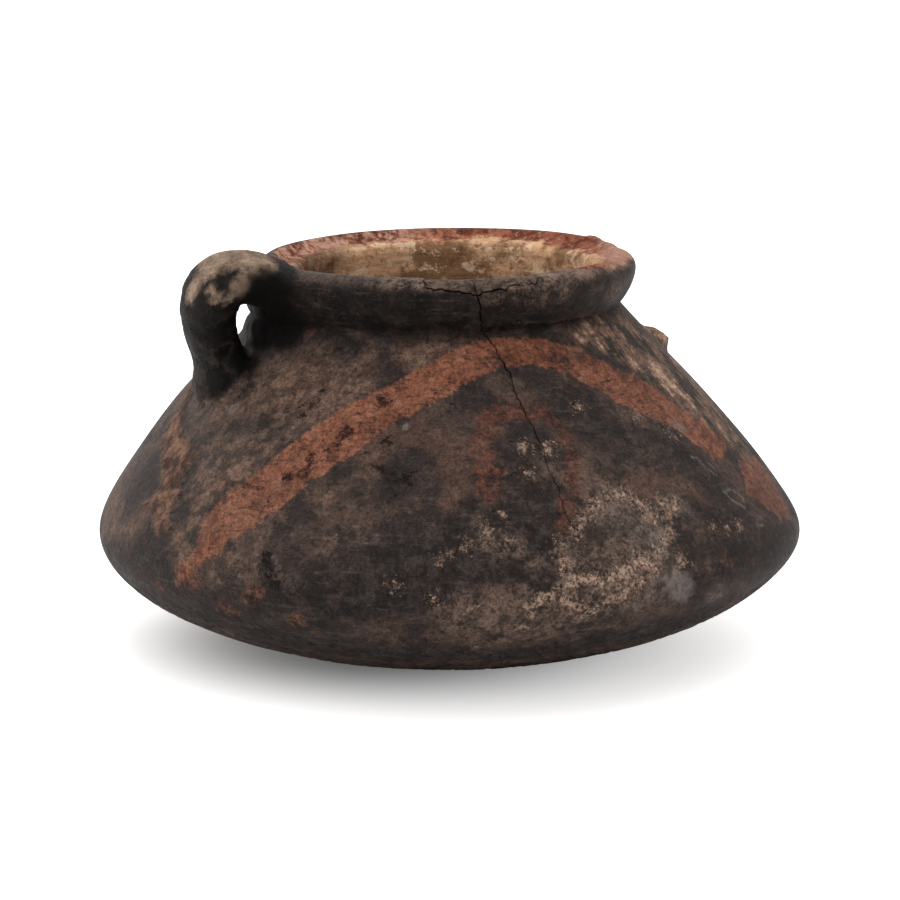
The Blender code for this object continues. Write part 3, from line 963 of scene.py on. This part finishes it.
def burnished_clay():
    """Smoke-clouded brown clay with red bands, crusts and a lighter inside."""
    g = Glaze("burnished_clay")
    clouds = g.noise(38, 4, 0.6, 0.0)
    drift = g.noise(14, 6, 0.68, 0.3)
    patch = g.noise(5.5, 5, 0.72, 0.7)
    grain = g.noise(2.2, 4, 0.75, 1.1)
    fine = g.noise(0.9, 3, 0.75, 1.5)
    strokes = g.noise(8, 5, 0.75, 1.9, scale=(0.5, 0.5, 4.0))
    hair = g.noise(2.4, 4, 0.8, 2.3, scale=(0.3, 0.3, 2.5))
    crumb = g.noise(1.6, 4, 0.88, 2.7)
    speckle = g.noise(1.3, 3, 0.88, 3.1)
    streaks = g.noise(13, 6, 0.66, 0.0, place=g.downhill())
    smear = g.share(patch, grain, 0.5)
    rag = g.share(patch, grain, 0.65)
    parts = g.tree.nodes.new("ShaderNodeSeparateXYZ")
    g.put(parts.inputs[0], g.place)
    rightward, height = parts.outputs["X"], parts.outputs["Z"]
    section = g.attribute("section")
    proud = g.step(g.attribute("proud"), 0.8, 3.0)

    # Clay of the outside, warm, ashen or smoke-blackened as the smoke left it, darker low on the belly as
    # painted shade, and the worn inner arch
    colour = g.marbled(drift, CLAY_DARK, CLAY_BROWN)
    colour = g.lay(colour, CLAY_LIGHT, g.step(clouds, 0.48, 0.60), g.step(patch, 0.42, 0.56))
    colour = g.lay(colour, g.marbled(patch, WARM_DARK, WARM_LIGHT), g.shape("warm", drift, 9, 8), 0.66)
    ash = g.marbled(patch, ASH_DARK, ASH_LIGHT, 0.42, 0.56)
    colour = g.lay(colour, ash, g.shape("ash", drift, 8, 8), 0.75)
    colour = g.lay(colour, GHOST, g.shape("ghost", patch, 4.0, 4.0), 0.55)
    # Smoke-black clouds, which also paint shade low on the belly and under its widest line
    soot_and_shade = g.marbled(patch, SOOT_AND_SHADE, SOOT_AND_SHADE_LIGHT, 0.42, 0.60)
    colour = g.lay(colour, soot_and_shade, g.shape("soot_and_shade", drift, 9, 7), 0.85)
    arch = g.shape("arch", patch, 5.0, 5.0)
    colour = g.lay(colour, g.marbled(grain, ARCH_DARK, ARCH_LIGHT), arch, g.step(grain, 0.32, 0.52), 0.62)

    # Red slip bands, worn through in places and fainter low down, and spots of rust
    slip = g.marbled(g.share(drift, smear, 0.5), SLIP_DARK, SLIP_LIGHT, 0.36, 0.56)
    slip = g.lay(slip, SLIP_BURNT, g.step(hair, 0.46, 0.34), 0.5)
    slip = g.lay(slip, SLIP_PINK, g.step(patch, 0.54, 0.64), 0.5)
    worn = g.blend(g.step(g.sum("ADD", grain, patch), 0.80, 0.94), 0.4, 1.0)
    faded = g.blend(g.step(height, 38 * MM, 72 * MM), 0.44, 0.86)
    colour = g.lay(colour, slip, g.shape("band", rag, 4.2, 1.3, shift=-0.3), worn, faded)
    rust = g.both(g.shape("rust", smear, 7.0, 5.0), g.step(crumb, 0.34, 0.56))
    colour = g.lay(colour, g.marbled(patch, RUST_DARK, RUST_LIGHT), rust, 0.5)

    # Stained shoulder and stub
    on_stub = g.both(proud, g.step(rightward, 50 * MM, 56 * MM), g.step(height, 70 * MM, 84 * MM))
    smudge = g.share(streaks, patch, 0.65)
    stained = g.marbled(smudge, STAIN, STAIN_LIGHT, 0.51, 0.585)
    stained = g.marbled(smudge, STAIN_DARK, stained, 0.445, 0.50)
    stained = g.grade(stained, g.step(grain, 0.38, 0.58), 0.78, 1.12)
    colour = g.lay(colour, stained, g.either(g.shape("stain", drift, 7, 5), on_stub), 0.85)

    # Collar, darkened all round by char and by painted shade under the rolled lip, but less at the right,
    # with a browner crest
    collar_clay = g.both(g.step(height, 104 * MM, 110 * MM), g.step(section, 0.5, -2.5))
    less = g.blend(g.step(rightward, 28 * MM, 48 * MM), 1.0, 0.35)
    char_and_shade = g.marbled(patch, CHAR_AND_SHADE, CHAR_AND_SHADE_LIGHT, 0.44, 0.62)
    colour = g.lay(colour, char_and_shade, collar_clay, g.step(patch, 0.28, 0.40), less, 0.9)
    crest = g.both(g.step(section, -7.0, -4.0), g.step(patch, 0.34, 0.50), g.step(grain, 0.32, 0.50))
    colour = g.lay(colour, CREST, crest, g.blend(g.step(rightward, -28 * MM, -4 * MM), 0.25, 0.9))

    # Burnishing strokes, grain and nicks over clay and slip alike
    colour = g.lay(colour, STROKE_LIGHT, g.step(strokes, 0.54, 0.66), 0.22)
    for pattern, low, high, darkest, brightest in (
            (patch, 0.40, 0.60, 0.90, 1.10), (grain, 0.38, 0.60, 0.87, 1.12), (crumb, 0.40, 0.58, 0.70, 1.14),
            (fine, 0.38, 0.60, 0.80, 1.16), (hair, 0.34, 0.46, 0.72, 1.04)):
        colour = g.grade(colour, g.step(pattern, low, high), darkest, brightest)
    colour = g.lay(colour, SPECK, g.step(speckle, 0.64, 0.74), 0.45)
    nicks = g.both(g.step(fine, 0.36, 0.32), g.step(patch, 0.40, 0.50), 0.8)
    nicks = g.either(g.both(g.step(grain, 0.37, 0.33), g.step(drift, 0.42, 0.50)), nicks)
    colour = g.lay(colour, PIT_AND_SHADE, nicks, 0.85)

    # Crusts, chalk with painted glints among its dots, and a grey spot
    tan_crust = g.both(g.shape("tan", smear, 5.0, 6.0, shift=-0.8), g.step(smear, 0.30, 0.46))
    tan_clay = g.marbled(patch, TAN_DARK, TAN_LIGHT, 0.40, 0.62)
    colour = g.lay(colour, g.grade(tan_clay, g.step(fine, 0.38, 0.60), 0.76, 1.12), tan_crust, 0.9)
    crusty = g.grade(g.marbled(smear, CRUST_DARK, CRUST), g.step(fine, 0.36, 0.60), 0.62, 1.25)
    colour = g.lay(colour, crusty, g.shape("crust", smear, 6.0, 7.0), g.step(crumb, 0.36, 0.54), 0.8)
    crumbs = g.both(g.scatter("cream", speckle, 7.0, 0.70, 0.46, 0.07), g.step(patch, 0.38, 0.52))
    cream = g.either(g.both(g.shape("cream", smear, 4.0, 2.8), g.step(crumb, 0.34, 0.50)), crumbs)
    colour = g.lay(colour, g.marbled(g.share(fine, crumb, 0.5), CREAM_DARK, CREAM_LIGHT), cream, 0.85)
    colour = g.lay(colour, CHALK_AND_GLINT, g.shape("chalk_and_glints", fine, 0.9, 1.0), g.step(crumb, 0.40, 0.5), 0.5)
    grey = g.grade(GREY, g.step(crumb, 0.38, 0.58), 0.62, 1.15)
    colour = g.lay(colour, grey, g.shape("grey", smear, 4.5, 4.5), 0.75)

    # Handle: charred below, a porous pale deposit over the top round one bare dark patch, and painted shade
    # beside its root
    on_handle = g.both(proud, g.step(rightward, 10 * MM, -10 * MM))
    bare = g.blend(g.shape("bare", rag, 2.0, 5.0), 1.0, 0.2)
    deposit = g.both(g.shape("deposit", rag, 3.5, 2.6), bare)
    pale = g.marbled(patch, DEPOSIT_DARK, DEPOSIT, 0.34, 0.66)
    pale = g.grade(pale, g.step(crumb, 0.36, 0.52), 0.62, 1.1)
    gripped = g.marbled(height, CHAR_AND_SHADE_LIGHT, SOOT_AND_SHADE_LIGHT, 112 * MM, 96 * MM)
    gripped = g.marbled(patch, CHAR_AND_SHADE, gripped, 0.46, 0.64)
    gripped = g.grade(gripped, g.step(crumb, 0.40, 0.58), 0.8, 1.3)
    colour = g.mix(on_handle, colour, g.lay(gripped, pale, deposit, 0.9))
    # Painted shade, near black, in the hollow between the handle's root and the neck
    gap_shade = g.shape("gap_shade", patch, 3, 4)
    colour = g.lay(colour, CHAR_AND_SHADE, gap_shade, 0.95)

    # Pits, scratches and the flaked lip
    pits = g.scatter("pits", g.share(grain, speckle, 0.5), 3.0, 0.64, 0.44, 0.05)
    scratches = g.both(g.shape("scratches", fine, 0.5, 0.6), g.step(hair, 0.38, 0.5))
    colour = g.lay(g.lay(colour, PIT_AND_SHADE, pits, 0.88), PIT_AND_SHADE, scratches, 0.8)
    flaked = g.marbled(grain, FLAKE_DARK, FLAKE_LIGHT)
    colour = g.lay(colour, flaked, g.shape("flake", fine, 0.3, 0.5), 0.75)

    # Inside: bare cream clay, browner with depth as painted shade, darker on the left wall as painted shade,
    # and red slip over the lip
    bare_clay = g.marbled(drift, INSIDE_BROWN, INSIDE_CREAM, 0.42, 0.56)
    bare_clay = g.lay(bare_clay, INSIDE_LIGHT, g.step(patch, 0.52, 0.60), 0.8)
    bare_clay = g.lay(bare_clay, INSIDE_DARK, g.step(grain, 0.44, 0.36), 0.5)
    # Painted shade deeper down the mouth
    bare_clay = g.lay(bare_clay, INSIDE_BROWN, g.step(section, 15.0, 30.0), 0.5)
    # Painted shade on the left inner wall
    left_wall_shade = g.both(g.step(rightward, -26 * MM, -42 * MM), g.step(smear, 0.34, 0.50))
    bare_clay = g.lay(bare_clay, INSIDE_DARK, left_wall_shade, 0.8)
    bare_clay = g.grade(bare_clay, g.step(strokes, 0.40, 0.60), 0.86, 1.2)
    lip = g.lay(g.marbled(patch, LIP_DARK, LIP_LIGHT), INSIDE_CREAM, g.step(grain, 0.56, 0.64), 0.55)
    lip = g.lay(lip, LIP_PALE, g.step(rightward, 6 * MM, -24 * MM), g.step(smear, 0.44, 0.56), 0.6)
    lip = g.grade(lip, g.step(rightward, 10 * MM, 40 * MM), 1.0, 0.84)
    lip = g.lay(lip, LIP_PALE, g.step(rightward, 45 * MM, 53 * MM), 0.4)
    lip = g.grade(lip, g.step(crumb, 0.40, 0.58), 0.8, 1.15)
    ragged = g.sum("MULTIPLY_ADD", drift, 16.0, g.sum("MULTIPLY_ADD", grain, 8.0, -12.0))
    inner = g.marbled(g.sum("ADD", section, ragged), lip, bare_clay, 4.5, 8.5)
    edge = g.sum("MULTIPLY", g.step(rightward, 30 * MM, 56 * MM), 5.0)
    edge = g.sum("MULTIPLY_ADD", patch, 4.0, edge)
    inside = g.step(g.sum("ADD", section, edge), 1.6, 3.4)
    # Cracks drawn dark along their lines, as painted shade in them
    crack = g.sum("ADD", g.attribute("crack"), g.sum("MULTIPLY_ADD", fine, 2.0, -1.0))
    colour = g.lay(g.mix(inside, colour, inner), PIT_AND_SHADE, g.step(crack, -0.45, 0.0), 0.7)
    g.put(g.shader.inputs["Base Color"], colour)

    # A satin clay, matt where it is crusted, in the painted shade beside the handle, or bare
    crusts = g.either(cream, tan_crust, g.both(on_handle, deposit))
    satin = g.blend(g.step(patch, 0.36, 0.64), 0.44, 0.62)
    g.put(g.shader.inputs["Roughness"], g.blend(g.either(crusts, gap_shade, inside), satin, 0.85))
    g.shader.inputs["Metallic"].default_value = 0.0
    g.shader.inputs["IOR"].default_value = 1.2
    g.shader.inputs["Specular IOR Level"].default_value = 0.6

    # Fine grain in the surface, coarser on the crusts, with its nicks, pits and scratches sunk in
    lift = g.sum("MULTIPLY_ADD", patch, 1.4, g.sum("MULTIPLY", crumb, 1.3))
    lift = g.sum("MULTIPLY_ADD", strokes, 0.6, lift)
    lift = g.sum("ADD", lift, g.both(crusts, g.sum("MULTIPLY_ADD", speckle, 1.8, 0.3)))
    bump = g.tree.nodes.new("ShaderNodeBump")
    bump.inputs["Strength"].default_value = 0.9
    bump.inputs["Distance"].default_value = 0.0006
    g.put(bump.inputs["Height"], g.sum("SUBTRACT", lift, g.either(pits, nicks, scratches)))
    g.put(g.shader.inputs["Normal"], bump.outputs["Normal"])
    return g.material


# Stage, in metres
FLOOR_SIZE = 12.0
# The floor glows for the camera, dimmer round a middle a little left of and behind the jar, as a painted
# shadow at its foot
GLOW_NEAR = 0.11
GLOW_FAR = 0.60
GLOW_START = 0.040
GLOW_FULL = 0.105
GLOW_MIDDLE = (-0.024, 0.014, 0)
FILL_STRENGTH = 0.32
FILL_COLOUR = (1.0, 0.93, 0.87, 1)
KEY_STRENGTH = 3.2
KEY_SOFTNESS = radians(140)
KEY_TURN = (radians(-6), radians(-14), 0)
CAMERA_DISTANCE = 1.210
CAMERA_ELEVATION = radians(11.3)
CAMERA_AIM = 0.0617
LENS = 154
SHIFT = 4 / 900


def pale_floor():
    """A wide white floor that the jar stands on, glowing for the camera, less near the jar as a painted
    shadow round its foot.
    """
    bm = bmesh.new()
    bmesh.ops.create_grid(bm, x_segments=1, y_segments=1, size=FLOOR_SIZE / 2)
    floor = thing("floor", bm)
    g = Glaze("pale_floor")
    g.shader.inputs["Base Color"].default_value = (0.9, 0.9, 0.9, 1)
    g.shader.inputs["Roughness"].default_value = 0.9
    g.shader.inputs["Emission Color"].default_value = (1, 1, 1, 1)
    away = g.arrows("DISTANCE", g.place, GLOW_MIDDLE)
    glow = g.blend(g.step(away, GLOW_START, GLOW_FULL), GLOW_NEAR, GLOW_FAR)
    seen = g.tree.nodes.new("ShaderNodeLightPath").outputs["Is Camera Ray"]
    g.put(g.shader.inputs["Emission Strength"], g.both(seen, glow))
    floor.data.materials.append(g.material)


def studio():
    """White surroundings, a wide soft key from above and the photograph's view."""
    world = bpy.data.worlds.new("studio")
    world.use_nodes = True
    nodes, links = world.node_tree.nodes, world.node_tree.links
    seen = nodes.new("ShaderNodeLightPath")
    tint = nodes.new("ShaderNodeMix")
    tint.data_type = "RGBA"
    tint.inputs[6].default_value = FILL_COLOUR
    tint.inputs[7].default_value = (1, 1, 1, 1)
    links.new(seen.outputs["Is Camera Ray"], tint.inputs["Factor"])
    links.new(tint.outputs[2], nodes["Background"].inputs["Color"])
    strength = nodes.new("ShaderNodeMapRange")
    strength.inputs["To Min"].default_value = FILL_STRENGTH
    strength.inputs["To Max"].default_value = 1.0
    links.new(seen.outputs["Is Camera Ray"], strength.inputs["Value"])
    links.new(strength.outputs[0], nodes["Background"].inputs["Strength"])
    bpy.context.scene.world = world
    sun = bpy.data.lights.new("key", "SUN")
    sun.energy = KEY_STRENGTH
    sun.angle = KEY_SOFTNESS
    key = bpy.data.objects.new("key", sun)
    key.rotation_euler = KEY_TURN
    bpy.context.scene.collection.objects.link(key)
    camera_data = bpy.data.cameras.new("camera")
    camera_data.lens = LENS
    camera_data.shift_x = SHIFT
    camera = bpy.data.objects.new("camera", camera_data)
    back = CAMERA_DISTANCE * cos(CAMERA_ELEVATION)
    camera.location = (0, -back, CAMERA_AIM + CAMERA_DISTANCE * sin(CAMERA_ELEVATION))
    camera.rotation_euler = (pi / 2 - CAMERA_ELEVATION, 0, 0)
    bpy.context.scene.collection.objects.link(camera)
    bpy.context.scene.camera = camera
    bpy.context.scene.view_settings.view_transform = "Standard"


jar = build_jar(burnished_clay())
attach(jar, "root")
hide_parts("handled_jar")
pale_floor()
studio()
